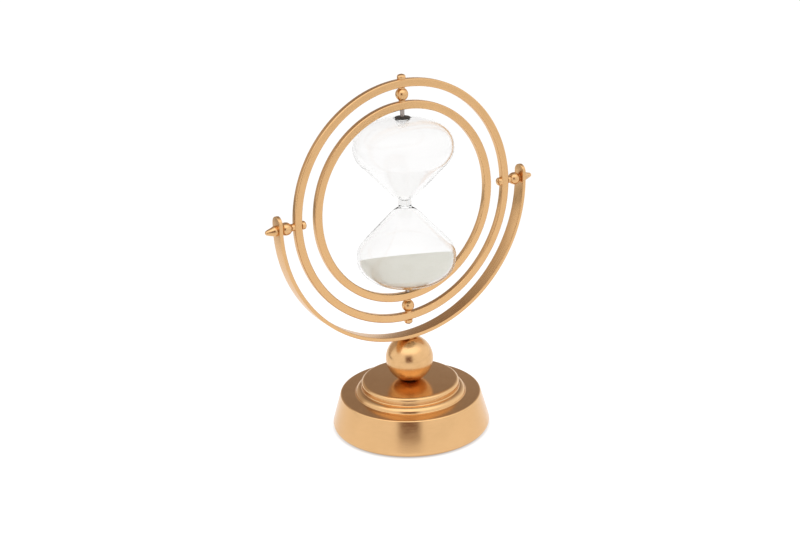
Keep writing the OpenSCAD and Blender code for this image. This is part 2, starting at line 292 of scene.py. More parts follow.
def brushed_gold(name, centre, axis_turn, roughness):
    """Satin gold plate with fine brush lines that run round an axis through centre.

    The lines are noise that changes fast along the axis and the radius, and slowly round the axis.
    """
    material, tree, principled = shader(name, "satin gold plate", Metallic=1.0)
    place = object_place(tree, centre, axis_turn)
    part = node(tree, "ShaderNodeSeparateXYZ", None, i0=place).outputs
    flat = node(tree, "ShaderNodeCombineXYZ", None, X=part[0], Y=part[1]).outputs[0]
    radius = node(tree, "ShaderNodeVectorMath", {"operation": "LENGTH"}, i0=flat).outputs["Value"]
    round_dir = node(tree, "ShaderNodeVectorMath", {"operation": "NORMALIZE"}, i0=flat).outputs[0]
    slow = node(tree, "ShaderNodeVectorMath", {"operation": "SCALE"}, i0=round_dir, Scale=9.0).outputs[0]
    slow_part = node(tree, "ShaderNodeSeparateXYZ", None, i0=slow).outputs
    lines_per_metre = 2600.0
    vector = node(tree, "ShaderNodeCombineXYZ", None, X=slow_part[0], Y=slow_part[1],
                  Z=math_node(tree, "MULTIPLY", part[2], lines_per_metre)).outputs[0]
    lines = node(tree, "ShaderNodeTexNoise", {"noise_dimensions": "4D"}, Vector=vector,
                 W=math_node(tree, "MULTIPLY", radius, lines_per_metre), Scale=1.0, Detail=4.0,
                 Roughness=0.6).outputs[0]
    cloud = node(tree, "ShaderNodeTexNoise", None, Vector=place, Scale=55.0, Detail=5.0,
                 Roughness=0.6).outputs[0]
    both = math_node(tree, "ADD", math_node(tree, "MULTIPLY", lines, 0.6),
                     math_node(tree, "MULTIPLY", cloud, 0.4))
    tint = colour_mix(tree, remap(tree, both, 0.35, 0.65, 0.0, 1.0), GOLD_DEEP, GOLD_LIGHT)
    tree.links.new(tint, principled.inputs["Base Color"])
    rough = remap(tree, both, 0.3, 0.7, roughness - 0.05, roughness + 0.07)
    tree.links.new(rough, principled.inputs["Roughness"])
    tree.links.new(bump(tree, lines, 0.02 * MM, 0.5), principled.inputs["Normal"])
    return material


def polished_gold(name, roughness):
    """The same plate on small turned pieces, with a faint grain and no lines."""
    material, tree, principled = shader(name, "satin gold plate", Metallic=1.0)
    place = object_place(tree)
    grain = node(tree, "ShaderNodeTexNoise", None, Vector=place, Scale=900.0, Detail=3.0,
                 Roughness=0.6).outputs[0]
    cloud = node(tree, "ShaderNodeTexNoise", None, Vector=place, Scale=120.0, Detail=3.0,
                 Roughness=0.5).outputs[0]
    tint = colour_mix(tree, remap(tree, cloud, 0.35, 0.65, 0.0, 1.0), GOLD_DEEP, GOLD_LIGHT)
    tree.links.new(tint, principled.inputs["Base Color"])
    rough = remap(tree, grain, 0.3, 0.7, roughness - 0.04, roughness + 0.06)
    tree.links.new(rough, principled.inputs["Roughness"])
    tree.links.new(bump(tree, grain, 0.01 * MM, 0.4), principled.inputs["Normal"])
    return material


def turned_steel():
    """Grey steel with faint turning marks along Z and X."""
    material, tree, principled = shader("turned_steel", "plain steel", Metallic=1.0)
    place = object_place(tree)
    marks = node(tree, "ShaderNodeTexNoise", None, Vector=place, Scale=1500.0, Detail=3.0).outputs[0]
    tint = colour_mix(tree, marks, (0.32, 0.28, 0.26), (0.46, 0.41, 0.38))
    tree.links.new(tint, principled.inputs["Base Color"])
    tree.links.new(remap(tree, marks, 0.3, 0.7, 0.22, 0.38), principled.inputs["Roughness"])
    tree.links.new(bump(tree, marks, 0.02 * MM, 0.5), principled.inputs["Normal"])
    return material


def cast_iron():
    """Dark iron with the sandy skin of a casting."""
    material, tree, principled = shader("cast_iron", "rough as cast", Metallic=0.8)
    place = object_place(tree)
    skin = node(tree, "ShaderNodeTexNoise", None, Vector=place, Scale=700.0, Detail=6.0).outputs[0]
    tint = colour_mix(tree, skin, (0.09, 0.09, 0.10), (0.22, 0.21, 0.21))
    tree.links.new(tint, principled.inputs["Base Color"])
    tree.links.new(remap(tree, skin, 0.3, 0.7, 0.5, 0.8), principled.inputs["Roughness"])
    tree.links.new(bump(tree, skin, 0.3 * MM, 0.7), principled.inputs["Normal"])
    return material


def black_rubber():
    """Matt black rubber with a faint bloom."""
    material, tree, principled = shader("black_rubber", "matt black rubber")
    place = object_place(tree)
    bloom = node(tree, "ShaderNodeTexNoise", None, Vector=place, Scale=450.0, Detail=5.0).outputs[0]
    tint = colour_mix(tree, bloom, (0.012, 0.010, 0.009), (0.035, 0.030, 0.026))
    tree.links.new(tint, principled.inputs["Base Color"])
    tree.links.new(remap(tree, bloom, 0.3, 0.7, 0.42, 0.62), principled.inputs["Roughness"])
    tree.links.new(bump(tree, bloom, 0.05 * MM, 0.5), principled.inputs["Normal"])
    return material


def dark_felt():
    """Charcoal felt: tangled fibres at two scales, and a soft sheen."""
    material, tree, principled = shader("dark_felt", "matt felt", Roughness=0.95, Sheen_Weight=0.6,
                                        Sheen_Roughness=0.5)
    place = object_place(tree)
    fibres = node(tree, "ShaderNodeTexNoise", None, Vector=place, Scale=900.0, Detail=8.0,
                  Roughness=0.75, Distortion=1.5).outputs[0]
    tufts = node(tree, "ShaderNodeTexNoise", None, Vector=place, Scale=160.0, Detail=4.0).outputs[0]
    both = math_node(tree, "MULTIPLY", fibres, math_node(tree, "ADD", tufts, 0.5))
    tint = colour_mix(tree, remap(tree, both, 0.25, 0.75, 0.0, 1.0), (0.02, 0.02, 0.023),
                      (0.085, 0.085, 0.09))
    tree.links.new(tint, principled.inputs["Base Color"])
    tree.links.new(bump(tree, both, 0.5 * MM, 0.9), principled.inputs["Normal"])
    return material


def clear_glass():
    """Clear blown glass whose wall absorbs a little light and waves very slightly along the vial.

    IOR and absorption are set for the look. Real glass has an IOR of about 1.5.
    """
    material, tree, principled = shader("clear_glass", "clear blown glass", Roughness=0.0, IOR=1.3,
                                        Transmission_Weight=1.0, Base_Color=(1, 1, 1, 1))
    depth = node(tree, "ShaderNodeVolumeAbsorption", None, Color=(0.5, 0.51, 0.505, 1), Density=38.0)
    tree.links.new(depth.outputs[0], tree.nodes["Material Output"].inputs["Volume"])
    place = object_place(tree, HUB)
    stretched = node(tree, "ShaderNodeVectorMath", {"operation": "MULTIPLY"}, i0=place,
                     i1=(18.0, 18.0, 110.0)).outputs[0]
    waves = node(tree, "ShaderNodeTexNoise", None, Vector=stretched, Scale=1.0, Detail=2.0).outputs[0]
    tree.links.new(bump(tree, waves, 0.35 * MM, 0.35), principled.inputs["Normal"])
    return material


def white_sand():
    """Fine white sand: paler and greyer grains in soft drifts, and a grainy bump."""
    material, tree, principled = shader("white_sand", "fine sand, matt", Roughness=0.9,
                                        Specular_IOR_Level=0.3)
    place = object_place(tree)
    grains = node(tree, "ShaderNodeTexVoronoi", {"feature": "F1"}, Vector=place, Scale=2400.0)
    pale = node(tree, "ShaderNodeSeparateColor", None, i0=grains.outputs["Color"]).outputs[0]
    drift = node(tree, "ShaderNodeTexNoise", None, Vector=place, Scale=60.0, Detail=4.0).outputs[0]
    tone = math_node(tree, "ADD", math_node(tree, "MULTIPLY", pale, 0.55),
                     math_node(tree, "MULTIPLY", drift, 0.45))
    tint = colour_mix(tree, remap(tree, tone, 0.2, 0.75, 0.0, 1.0), (0.92, 0.90, 0.80),
                      (0.985, 0.97, 0.89))
    tree.links.new(tint, principled.inputs["Base Color"])
    tree.links.new(bump(tree, grains.outputs["Distance"], 0.2 * MM, 0.35), principled.inputs["Normal"])
    return material


QUARTER = math.pi / 2
GOLD_BASE = brushed_gold("brushed_gold_base", (0, 0, 0), (0, 0, 0), 0.18)
GOLD_RINGS = brushed_gold("brushed_gold_rings", HUB, (QUARTER, 0, 0), 0.27)
GOLD_SMALL = polished_gold("satin_gold_turned", 0.22)
STEEL = turned_steel()
IRON = cast_iron()
RUBBER = black_rubber()
FELT = dark_felt()
GLASS = clear_glass()
SAND = white_sand()

# ---------------------------------------------------------------- stand


def base_line(d, steps=12):
    """Outline of the base sheet from its inturned lip to the centre disc, in millimetres.

    It is moved in by d, so that the inner face keeps the sheet's thickness. Arcs are the rolled foot,
    the rounded shoulder, the hollow corner, the bead, the hollow corner above it and the disc's edge.
    """
    base_r = span("base_shell").x / 2 / MM
    dais_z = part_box("base_shell")[1].z / MM
    foot_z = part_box("base_shell")[0].z / MM
    foot_r, lip, lean_in, edge = 3.6, 4.0, 6.7, 1.5
    dais_r, dais_rise, dais_edge = 40.5, 11.0, 2.8
    bead_r, bead_h, bead_set, hollow = 4.8, 4.4, 0.5, 0.8
    shoulder_z = dais_z - dais_rise
    shoulder_r = base_r - lean_in
    lean = math.degrees(math.atan2(lean_in, shoulder_z - foot_z))
    bead_x, bead_z = dais_r + bead_set, shoulder_z + bead_h - bead_r
    reach = bead_r + hollow
    low = math.asin((shoulder_z + hollow - bead_z) / reach)
    high = math.acos((hollow - bead_set) / reach)
    low_turn, high_turn = math.degrees(low), math.degrees(high)
    return outline(
        (base_r - foot_r - lip, foot_z + d),
        arc(base_r - foot_r, foot_z + foot_r, foot_r - d, -90, lean, steps),
        arc(shoulder_r - edge, shoulder_z - edge, edge - d, lean, 90, steps),
        arc(bead_x + reach * math.cos(low), shoulder_z + hollow, hollow + d, 270, 180 + low_turn, 8),
        arc(bead_x, bead_z, bead_r - d, low_turn, high_turn, steps * 2),
        arc(dais_r + hollow, bead_z + reach * math.sin(high), hollow + d, 180 + high_turn, 180, 8),
        arc(dais_r - dais_edge, dais_z - dais_edge, dais_edge - d, 0, 90, steps),
    )


def base_shell():
    """Spun base: the outer outline, the bore for the stud, and the inner outline back to the lip."""
    sheet = 1.2
    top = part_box("base_shell")[1].z / MM
    bore = (span("stem_stud").x / 2 + BORE_GAP) / MM
    points = outline(base_line(0), (bore, top), (bore, top - sheet), base_line(sheet)[::-1])
    return lathe(points * MM, LARGE_TURNS)


def felt_pad():
    """Round pad with soft edges; its skin rises and falls by a tenth of a millimetre."""
    r = span("felt_pad").x / 2
    t = span("felt_pad").z
    soft = 0.5 * MM
    radii = np.linspace(0, r - soft, 60)[1:-1]
    bottom = np.stack([radii, np.zeros_like(radii)], axis=1)
    rim = rounded([(radii[-1], 0, 0), (r, 0, soft), (r, t, soft), (radii[-1], t, 0)])
    points, quads, tris = lathe(outline((0, 0), bottom, rim, (0, t)), LARGE_TURNS)
    x, y = points[:, 0], points[:, 1]
    fuzz = np.sin(x * 2300 + np.sin(y * 900) * 2) * np.sin(y * 2100 + np.sin(x * 1100) * 2)
    points[:, 2] += np.where(points[:, 2] < t / 2, 0.05 * MM * (1 + fuzz), 0)
    return points, quads, tris


def ball(node_name, flat_axis, hole, turns):
    """Ball with two flats: the arc of its radius between them, joined by its bore."""
    size = span(node_name)
    half = size[flat_axis] / 2
    r = max(size) / 2
    flat_r = math.sqrt(r * r - half * half)
    limit = math.degrees(math.asin(half / r))
    soft = 0.15 * MM
    points = outline(
        (hole, -half),
        (flat_r - soft, -half),
        arc(0, 0, r, -limit + 1, limit - 1, 48),
        (flat_r - soft, half),
        (hole, half),
    )
    return lathe(points, turns)


def washer(r, length, hole, edge=0.12 * MM):
    """Flat ring from z = 0 up, with softened edges."""
    corners = [(hole, 0, edge), (r, 0, edge), (r, length, edge), (hole, length, edge)]
    return lathe(rounded(corners, 3, closed=True))


def yoke():
    """Strap along a half circle with straight, round-ended tips.

    A point has a place s along the strap's middle line, y across it and h through it. In a tip,
    angle t about the tip's centre gives s = centre + (w - d) sin t and y = (w - d) cos t, where w is
    half the width and d how far the point is in from the edge, so both edges meet at the very tip.
    The half circle turns (s, h) into radius R + h at angle s / R, and past it the strap is straight.
    """
    edge = 0.55 * MM
    low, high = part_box("yoke")
    outer = span("yoke").x / 2
    thick = 3.0 * MM
    half_w = span("yoke").y / 2
    half_t = thick / 2
    path_r = outer - half_t
    quarter_run = path_r * math.pi / 2
    tip = quarter_run + (high.z - HUB.z) - half_w

    # Half of the section, from the inner face round the edge to the outer face: distance in, height
    a = np.radians(np.linspace(0, 90, 7))
    corner = np.stack([edge * (1 - np.sin(a)), half_t - edge * (1 - np.cos(a))], axis=1)
    half_section = np.concatenate([corner, corner[::-1] * (1, -1)])
    inset = np.concatenate([half_section[:, 0], half_section[::-1, 0]])
    height = np.concatenate([half_section[:, 1], half_section[::-1, 1]])
    side = np.repeat([1.0, -1.0], len(half_section))

    t = np.radians(np.linspace(0, 90, 16))[1:]
    straight = np.linspace(quarter_run, tip, 4)[1:]
    bend = np.linspace(-quarter_run, quarter_run, 241)
    middle_s = np.concatenate([-straight[::-1], bend, straight])
    s_rows = [np.broadcast_to(middle_s[:, None], (len(middle_s), len(inset)))]
    y_rows = [np.broadcast_to(side * (half_w - inset), s_rows[0].shape)]
    reach = (half_w - inset)[None, :]
    for end in (1, -1):
        order = slice(None) if end == 1 else slice(None, None, -1)
        cap_s = end * (tip + reach * np.sin(t)[:, None])[order]
        cap_y = (side * reach * np.cos(t)[:, None])[order]
        s_rows = s_rows + [cap_s] if end == 1 else [cap_s] + s_rows
        y_rows = y_rows + [cap_y] if end == 1 else [cap_y] + y_rows
    s = np.concatenate(s_rows)
    y = np.concatenate(y_rows)
    h = np.broadcast_to(height, s.shape)

    angle = np.clip(s, -quarter_run, quarter_run) / path_r
    past = np.sign(s) * np.maximum(np.abs(s) - quarter_run, 0)
    x = (path_r + h) * np.sin(angle)
    z = -(path_r + h) * np.cos(angle) + np.abs(past)
    points = np.stack([x, y, z + HUB.z], axis=2).reshape(-1, 3)
    quads = grid_faces(*s.shape, wrap_rows=False)
    return facing((points, quads, np.zeros((0, 3), int)))


def weld(piece):
    """Joins points that lie on each other, such as the two edges of a strap at its tip."""
    mesh = bmesh.new()
    mesh.from_mesh(piece.data)
    bmesh.ops.remove_doubles(mesh, verts=mesh.verts, dist=0.002 * MM)
    bmesh.ops.dissolve_degenerate(mesh, edges=mesh.edges, dist=0.0005 * MM)
    mesh.to_mesh(piece.data)
    mesh.free()


def build_stand():
    stud_bore = span("stem_stud").x / 2 + BORE_GAP
    make("base_shell_spun", base_shell(), "stand", GOLD_BASE, ["base_shell"])
    make("felt_pad_soft", felt_pad(), "stand", FELT, ["felt_pad"])
    make("stem_ball_turned", placed(ball("stem_ball", 2, stud_bore, 160), middle("stem_ball")),
         "stand", GOLD_SMALL, ["stem_ball"])
    collar = washer(span("stem_collar").x / 2, span("stem_collar").z, stud_bore, 0.3 * MM)
    collar_foot = (0, 0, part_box("stem_collar")[0].z)
    make("stem_collar_turned", placed(collar, collar_foot), "stand", GOLD_SMALL,
         ["stem_collar"])
    weld(make("yoke_strap", yoke(), "stand", GOLD_RINGS, ["yoke"], 40))


# ---------------------------------------------------------------- rings and pivots


def ring(radius):
    """Ring about the Y axis: a rectangle with rounded corners, carried round the hub."""
    inner = radius - RING_W
    half = RING_T / 2
    corners = [(inner, -half, RING_EDGE), (radius, -half, RING_EDGE), (radius, half, RING_EDGE),
               (inner, half, RING_EDGE)]
    return placed(lathe(rounded(corners, 6, closed=True), 360), HUB, (0, 1, 0))


def dome_nut(size_across, height):
    """Dome nut from z = 0 up: a short drum with a flattened dome, on a softened foot."""
    r = size_across / 2
    drum = height * 0.5
    soft = 0.3 * MM
    flatness = 0.9
    t = np.radians(np.linspace(0, 90, 14))
    dome = np.stack([r * np.cos(t) ** flatness, drum + (height - drum) * np.sin(t)], axis=1)
    dome[-1, 0] = 0
    return lathe(outline((0, 0), (r - soft, 0), arc(r - soft, soft, soft, -60, 0, 4), dome))


def cap_nut(size_across, length):
    """Cap nut from z = 0 up: a round foot, a cone that leans in by 20 degrees, and a round tip."""
    r = size_across / 2
    tip = r / 2
    foot = length * 0.3
    soft, knee = 0.4 * MM, 1.0 * MM
    points = outline(
        (0, 0),
        arc(r - soft, soft, soft, -90, 0, 5),
        arc(r - knee, foot - knee, knee, 0, 50, 6),
        arc(0, length - tip, tip, 20, 90, 12),
    )
    points[-1, 0] = 0
    return lathe(points)


def rod(radius, length):
    """Straight pin from z = 0 up with chamfered ends."""
    chamfer = 0.35 * MM
    return lathe(outline((0, 0), (radius - chamfer, 0), (radius, chamfer), (radius, length - chamfer),
                         (radius - chamfer, length), (0, length)))


def build_flip_ring():
    make("outer_ring_round", ring(RING_R), "flip_ring", GOLD_RINGS, ["outer_ring"])
    for side, word in ((-1, "left"), (1, "right")):
        out = (side, 0, 0)

        def foot_of(name, far=False, side=side):
            """Where a piece's inner end lies on the X axis, or its outer end if far."""
            low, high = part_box(name)
            x = high.x if (side > 0) == far else low.x
            return (x, 0, HUB.z)

        rod_name = f"pivot_rod_{word}"
        hole = span(rod_name).z / 2 + BORE_GAP
        make(f"pivot_rod_{word}_steel", placed(rod(span(rod_name).z / 2, span(rod_name).x),
             foot_of(rod_name), out), "flip_ring", STEEL, [rod_name])
        nut = f"pivot_nut_{word}"
        make(f"pivot_nut_{word}_domed", placed(dome_nut(span(nut).z, span(nut).x),
             foot_of(nut, far=True), (-side, 0, 0)), "flip_ring", GOLD_SMALL, [nut])
        collar = f"pivot_collar_{word}"
        make(f"pivot_collar_{word}_turned", placed(washer(span(collar).z / 2, span(collar).x, hole,
             0.25 * MM), foot_of(collar), out), "flip_ring", GOLD_SMALL, [collar])
        spacer = f"pivot_ball_{word}"
        make(f"pivot_ball_{word}_turned", placed(ball(spacer, 0, hole, SMALL_TURNS), middle(spacer),
             out), "flip_ring", GOLD_SMALL, [spacer])
        thin = f"pivot_washer_{word}"
        make(f"pivot_washer_{word}_thin", placed(washer(span(thin).z / 2, span(thin).x, hole),
             foot_of(thin), out), "flip_ring", GOLD_SMALL, [thin])
        cap = f"cap_nut_{word}"
        make(f"cap_nut_{word}_turned", placed(cap_nut(span(cap).z, span(cap).x), foot_of(cap), out),
             "flip_ring", GOLD_SMALL, [cap])


# ---------------------------------------------------------------- glass and sand

GLASS_T = 1.6 * MM
WELL_R = 3.4 * MM
WELL_H = 6.0 * MM
WELL_TURN = 3.0 * MM
CROWN_H = 23.8 * MM
CROWN_POWER = 2.3
TURN_R = 16.5 * MM
NECK_R = 5.1 * MM
NECK_L = 3.9 * MM
NECK_TURN_R = 12.5 * MM
NECK_TURN_H = 5.2 * MM
ORIFICE_R = 1.2 * MM
# Sand: height of its top on the axis above the vial's middle, its slope and the direction of uphill
# in degrees, and its gap to the glass
SAND_Z = -46 * MM
SAND_SLOPE = 23
SAND_UPHILL = -112
SAND_GAP = 0.12 * MM
# Thickness of the rubber cups' flange
CUP_T = 1.2 * MM


def bend(start, toward, end, steps=14):
    """Curve (1-t)^2 start + 2 t (1-t) toward + t^2 end."""
    t = np.linspace(0, 1, steps + 1)[:, None]
    return (1 - t) ** 2 * np.array(start) + 2 * t * (1 - t) * np.array(toward) + t**2 * np.array(end)


def bulb_line(d, neck, corner_z):
    """Upper half of the vial's outline from the neck to the dome, moved in by d.

    From the neck it goes over a rounded shoulder and up a straight cone that touches the turning arc.
    Above the widest place the dome is (r / R)^p + (z / H)^p = 1.
    """
    bulb_r = span("glass_vial").x / 2
    widest = span("glass_vial").z / 2 - CROWN_H
    centre = np.array([bulb_r - TURN_R, widest])
    shoulder = np.array([NECK_TURN_R, NECK_L + NECK_TURN_H])
    away = centre - shoulder
    lean = math.atan2(*away) + math.asin(TURN_R / np.linalg.norm(away))
    along = np.array([math.sin(lean), math.cos(lean)])
    inward = np.array([-math.cos(lean), math.sin(lean)])
    end = shoulder + d * inward
    corner = (neck + 0.6 * MM, corner_z)
    t = np.radians(np.linspace(3, 84, 34))
    power = 2 / CROWN_POWER
    dome = np.stack([(bulb_r - d) * np.cos(t) ** power, widest + (CROWN_H - d) * np.sin(t) ** power], 1)
    return outline(rounded([(neck, 0, 0), (neck + 0.1 * MM, corner_z, 0.7 * MM), (*corner, 0)], 6),
                   bend(corner, end - (NECK_TURN_H - d) * along, end),
                   arc(*centre, TURN_R - d, -math.degrees(lean), 0, 20), dome)


def glass_outer():
    """Outside of the upper half, down into the well."""
    top = span("glass_vial").z / 2
    rim = 1.2 * MM
    body = bulb_line(0, NECK_R, NECK_L)
    keep = (body[:, 0] > WELL_R + rim) | (body[:, 1] < NECK_L * 1.2)
    return outline(body[keep], arc(WELL_R + rim, top - rim, rim, 90, 180, 10),
                   arc(WELL_R - WELL_TURN, top - WELL_H + WELL_TURN, WELL_TURN, 0, -88, 12),
                   (0, top - WELL_H))


def glass_inner(d):
    """Inside of the upper half, round the well, moved in by d."""
    top = span("glass_vial").z / 2
    w = GLASS_T + d
    wall = WELL_R + w
    body = bulb_line(w, ORIFICE_R - d, NECK_L * 0.6)
    turn = 1.0 * MM
    keep = (body[:, 0] > wall + turn) | (body[:, 1] < NECK_L * 2)
    return outline(body[keep], arc(wall + turn, top - w - turn, turn, 90, 180, 8),
                   arc(WELL_R - WELL_TURN, top - WELL_H + WELL_TURN, WELL_TURN + w, 0, -88, 14),
                   (0, top - WELL_H - w))


def both_halves(half):
    """Whole outline from its upper half: the same half upside down first."""
    below = half[::-1] * (1, -1)
    return outline(below[:-1], half)


def glass_vial():
    """Hollow vial: the outer wall faces out and the wall of the cavity faces in."""
    outside = lathe(both_halves(glass_outer()), 200)
    inside = facing(lathe(both_halves(glass_inner(0)), 200), outward=False)
    return placed(joined(outside, inside), HUB)


def sand():
    """Sand in the lower bulb under a sloping top.

    Seen from above at angle a, the cavity's outline runs from the floor up the wall to where it
    crosses the plane z = depth + slope * r * cos(a - uphill), and the top runs back along that plane
    to the axis. Ripples of a tenth of a millimetre are added to the top.
    """
    turns = 160
    depth, slope, uphill = SAND_Z, math.tan(math.radians(SAND_SLOPE)), math.radians(SAND_UPHILL)
    ripple_h = 0.12 * MM
    wall = glass_inner(SAND_GAP)[::-1] * (1, -1)
    run = np.concatenate([[0], np.cumsum(np.linalg.norm(np.diff(wall, axis=0), axis=1))])
    fine = np.linspace(0, run[-1], 1200)
    r, z = np.interp(fine, run, wall[:, 0]), np.interp(fine, run, wall[:, 1])
    a = np.linspace(0, 2 * np.pi, turns, endpoint=False)
    lean = slope * np.cos(a - uphill)
    above = z[None, :] - (depth + lean[:, None] * r[None, :])
    first = np.argmax(above > 0, axis=1)
    index = np.arange(turns)
    before, after = above[index, first - 1], above[index, first]
    cross = fine[first - 1] + (fine[1] - fine[0]) * before / (before - after)
    share = np.linspace(0, 1, 90)[1:, None]
    side_r = np.interp(share * cross, fine, r)
    side_z = np.interp(share * cross, fine, z)
    top_share = np.linspace(1, 0, 60)[1:-1, None]
    top_r = top_share * side_r[-1]
    ripple = np.sin(top_r * 700 * np.cos(a) + 1.3) * np.sin(top_r * 640 * np.sin(a)) * top_share
    top_z = depth + lean * top_r + ripple_h * ripple * (1 - top_share)
    rr, zz = np.concatenate([side_r, top_r]), np.concatenate([side_z, top_z])
    grid = np.stack([rr * np.cos(a), rr * np.sin(a), zz], axis=2).reshape(-1, 3)
    pole = len(grid)
    last = pole - turns
    k = (index + 1) % turns
    points = np.concatenate([grid, [[0, 0, z[0]], [0, 0, depth]]])
    fans = [np.stack([np.full(turns, pole), k, index], 1),
            np.stack([np.full(turns, pole + 1), last + index, last + k], 1)]
    quads = grid_faces(len(rr), turns, False)
    return placed(facing((points, quads, np.concatenate(fans))), HUB)


def rubber_cup(name):
    """Cup from the plug's end at z = 0 up to the flange, with a dished top round the pin."""
    height = span(name).z
    flange_r = span(name).x / 2
    flange_z = height - CUP_T
    pin_r = span("axle_pin_top").x / 2
    plug = WELL_R - BORE_GAP
    dish = [(pin_r + 1.2 * MM, height, 0.8 * MM), (pin_r + 0.3 * MM, height - 0.2 * MM, 0.1 * MM),
            (0, height - 0.3 * MM, 0)]
    return lathe(rounded([(0, 0, 0), (plug, 0, 0.4 * MM), (plug, flange_z, 0.1 * MM),
                          (flange_r, flange_z, 0.35 * MM), (flange_r, height - 0.25 * MM, 0.3 * MM),
                          *dish]))


def build_glass_ring():
    make("inner_ring_round", ring(INNER_R), "glass_ring", GOLD_RINGS, ["inner_ring"])
    make("glass_vial_blown", glass_vial(), "glass_ring", GLASS, ["glass_vial"], 60)
    make("sand_heap", sand(), "glass_ring", SAND, ["sand"], 50)
    for side, word in ((-1, "bottom"), (1, "top")):
        out = (0, 0, side)

        def foot_of(name, side=side):
            """Where the end of a piece that is nearer to the hub lies on the Z axis."""
            low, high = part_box(name)
            return (0, 0, low.z if side > 0 else high.z)

        pin = f"axle_pin_{word}"
        hole = span(pin).x / 2 + BORE_GAP
        make(f"{pin}_steel", placed(rod(span(pin).x / 2, span(pin).z), foot_of(pin), out),
             "glass_ring", STEEL, [pin])
        nut = f"axle_nut_{word}"
        make(f"{nut}_domed", placed(dome_nut(span(nut).x, span(nut).z), foot_of(nut), out),
             "glass_ring", GOLD_SMALL, [nut])
        spacer = f"axle_ball_{word}"
        make(f"{spacer}_turned", placed(ball(spacer, 2, hole, SMALL_TURNS), middle(spacer), out),
             "glass_ring", GOLD_SMALL, [spacer])
        for place in ("inner", "outer"):
            thin = f"axle_{place}_washer_{word}"
            make(f"{thin}_thin", placed(washer(span(thin).x / 2, span(thin).z, hole), foot_of(thin),
                 out), "glass_ring", GOLD_SMALL, [thin])
        cup = f"rubber_cup_{word}"
        make(f"{cup}_moulded", placed(rubber_cup(cup), foot_of(cup), out), "glass_ring",
             RUBBER, [cup])


def dress_hidden_parts():
    """Materials of the CAD nodes that stay: the ballast and its fixings inside the base."""
    for name, material in (("base_weight", IRON), ("base_plate", STEEL), ("stem_stud", STEEL),
                           ("stem_washer", STEEL), ("stem_nut", STEEL)):
        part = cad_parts[name]
        part.data.materials.clear()
        part.data.materials.append(material)


# ---------------------------------------------------------------- studio

CAMERA_AZIMUTH = 31.786
CAMERA_ELEVATION = 17.966
CAMERA_DISTANCE = 1.1528
CAMERA_ROLL = -1.706
CAMERA_LENS = 65.3
AIM_RIGHT = -0.0047
AIM_UP = -0.044

# Colours of the light: the white room, its dim side, its dim corner, and the dim gap in front
ROOM_LIGHT = (1.17, 1.17, 1.17)
DIM_LIGHT = (0.36, 0.30, 0.27)
CORNER_LIGHT = (0.6, 0.52, 0.45)
GAP_LIGHT = (0.22, 0.12, 0.09)
# What the soft light high up in front adds
SOFT_LIGHT = 0.5
# Middle of the dim side, its azimuth from the camera's side towards the camera's right, and how far
# from there it is still full and where it has gone, all in degrees
DIM_AZIMUTH, DIM_ELEVATION = -168, 40
DIM_FULL, DIM_GONE = 18, 62
# Where each light has gone and where it is full, as a share of the ray that points up, to the
# camera's side or to its right
WALL_UP = (0.2, 0.06)
CORNER_FRONT, CORNER_BACK = (-0.25, -0.4), (-0.96, -0.84)
CORNER_LEFT, CORNER_UP = (-0.1, -0.35), (0.6, 0.35)
SOFT_UP, SOFT_FRONT = (0.5, 0.7), (-0.1, 0.25)
GAP_SHIFT, GAP_ASIDE = 0.05, (0.36, 0.2)
GAP_UP, GAP_FRONT = (0.64, 0.4), (0.3, 0.5)

FLOOR_R = 2.6
FLOOR_PALE = (0.35, 0.35, 0.35)
FLOOR_DIM = (0.1, 0.09, 0.08)
# How much less the dim part of the floor glows
FLOOR_DIM_LOSS = 0.75
# How fast the view widens with distance
VIEW_SPREAD = 0.4


def build_camera():
    """Camera on a sphere round the hub, aimed a little below it and rolled a little."""
    azimuth, elevation = math.radians(CAMERA_AZIMUTH), math.radians(CAMERA_ELEVATION)
    out = Vector((-math.sin(azimuth) * math.cos(elevation), -math.cos(azimuth) * math.cos(elevation),
                  math.sin(elevation)))
    right = (-out).cross(Vector((0, 0, 1))).normalized()
    up = right.cross(-out)
    forward = (-out + AIM_RIGHT * right + AIM_UP * up).normalized()
    level = forward.cross(up).normalized()
    high = level.cross(forward)
    roll = math.radians(CAMERA_ROLL)
    x_axis = math.cos(roll) * level + math.sin(roll) * high
    y_axis = -math.sin(roll) * level + math.cos(roll) * high
    turn = Matrix((x_axis, y_axis, -forward)).transposed().to_4x4()
    data = bpy.data.cameras.new("camera")
    data.lens = CAMERA_LENS
    data.sensor_width = 36
    data.clip_start = 0.01
    camera = bpy.data.objects.new("camera", data)
    camera.matrix_world = Matrix.Translation(HUB + out * CAMERA_DISTANCE) @ turn
    bpy.context.scene.collection.objects.link(camera)
    bpy.context.scene.camera = camera
    return out, right


def seen_directly(tree):
    """1 where the room is seen straight or through glass, and 0 where it only lights things."""
    path = tree.nodes.new("ShaderNodeLightPath").outputs
    return math_node(tree, "MAXIMUM", path["Is Camera Ray"], path["Is Transmission Ray"])


def fade(tree, value, limits):
    """0 where value is at the first limit and 1 where it is at the second."""
    return remap(tree, value, *limits, 0.0, 1.0)


def along(tree, vector, direction):
    """How far a vector reaches in a direction."""
    return node(tree, "ShaderNodeVectorMath", {"operation": "DOT_PRODUCT"}, i0=vector,
                i1=direction).outputs["Value"]


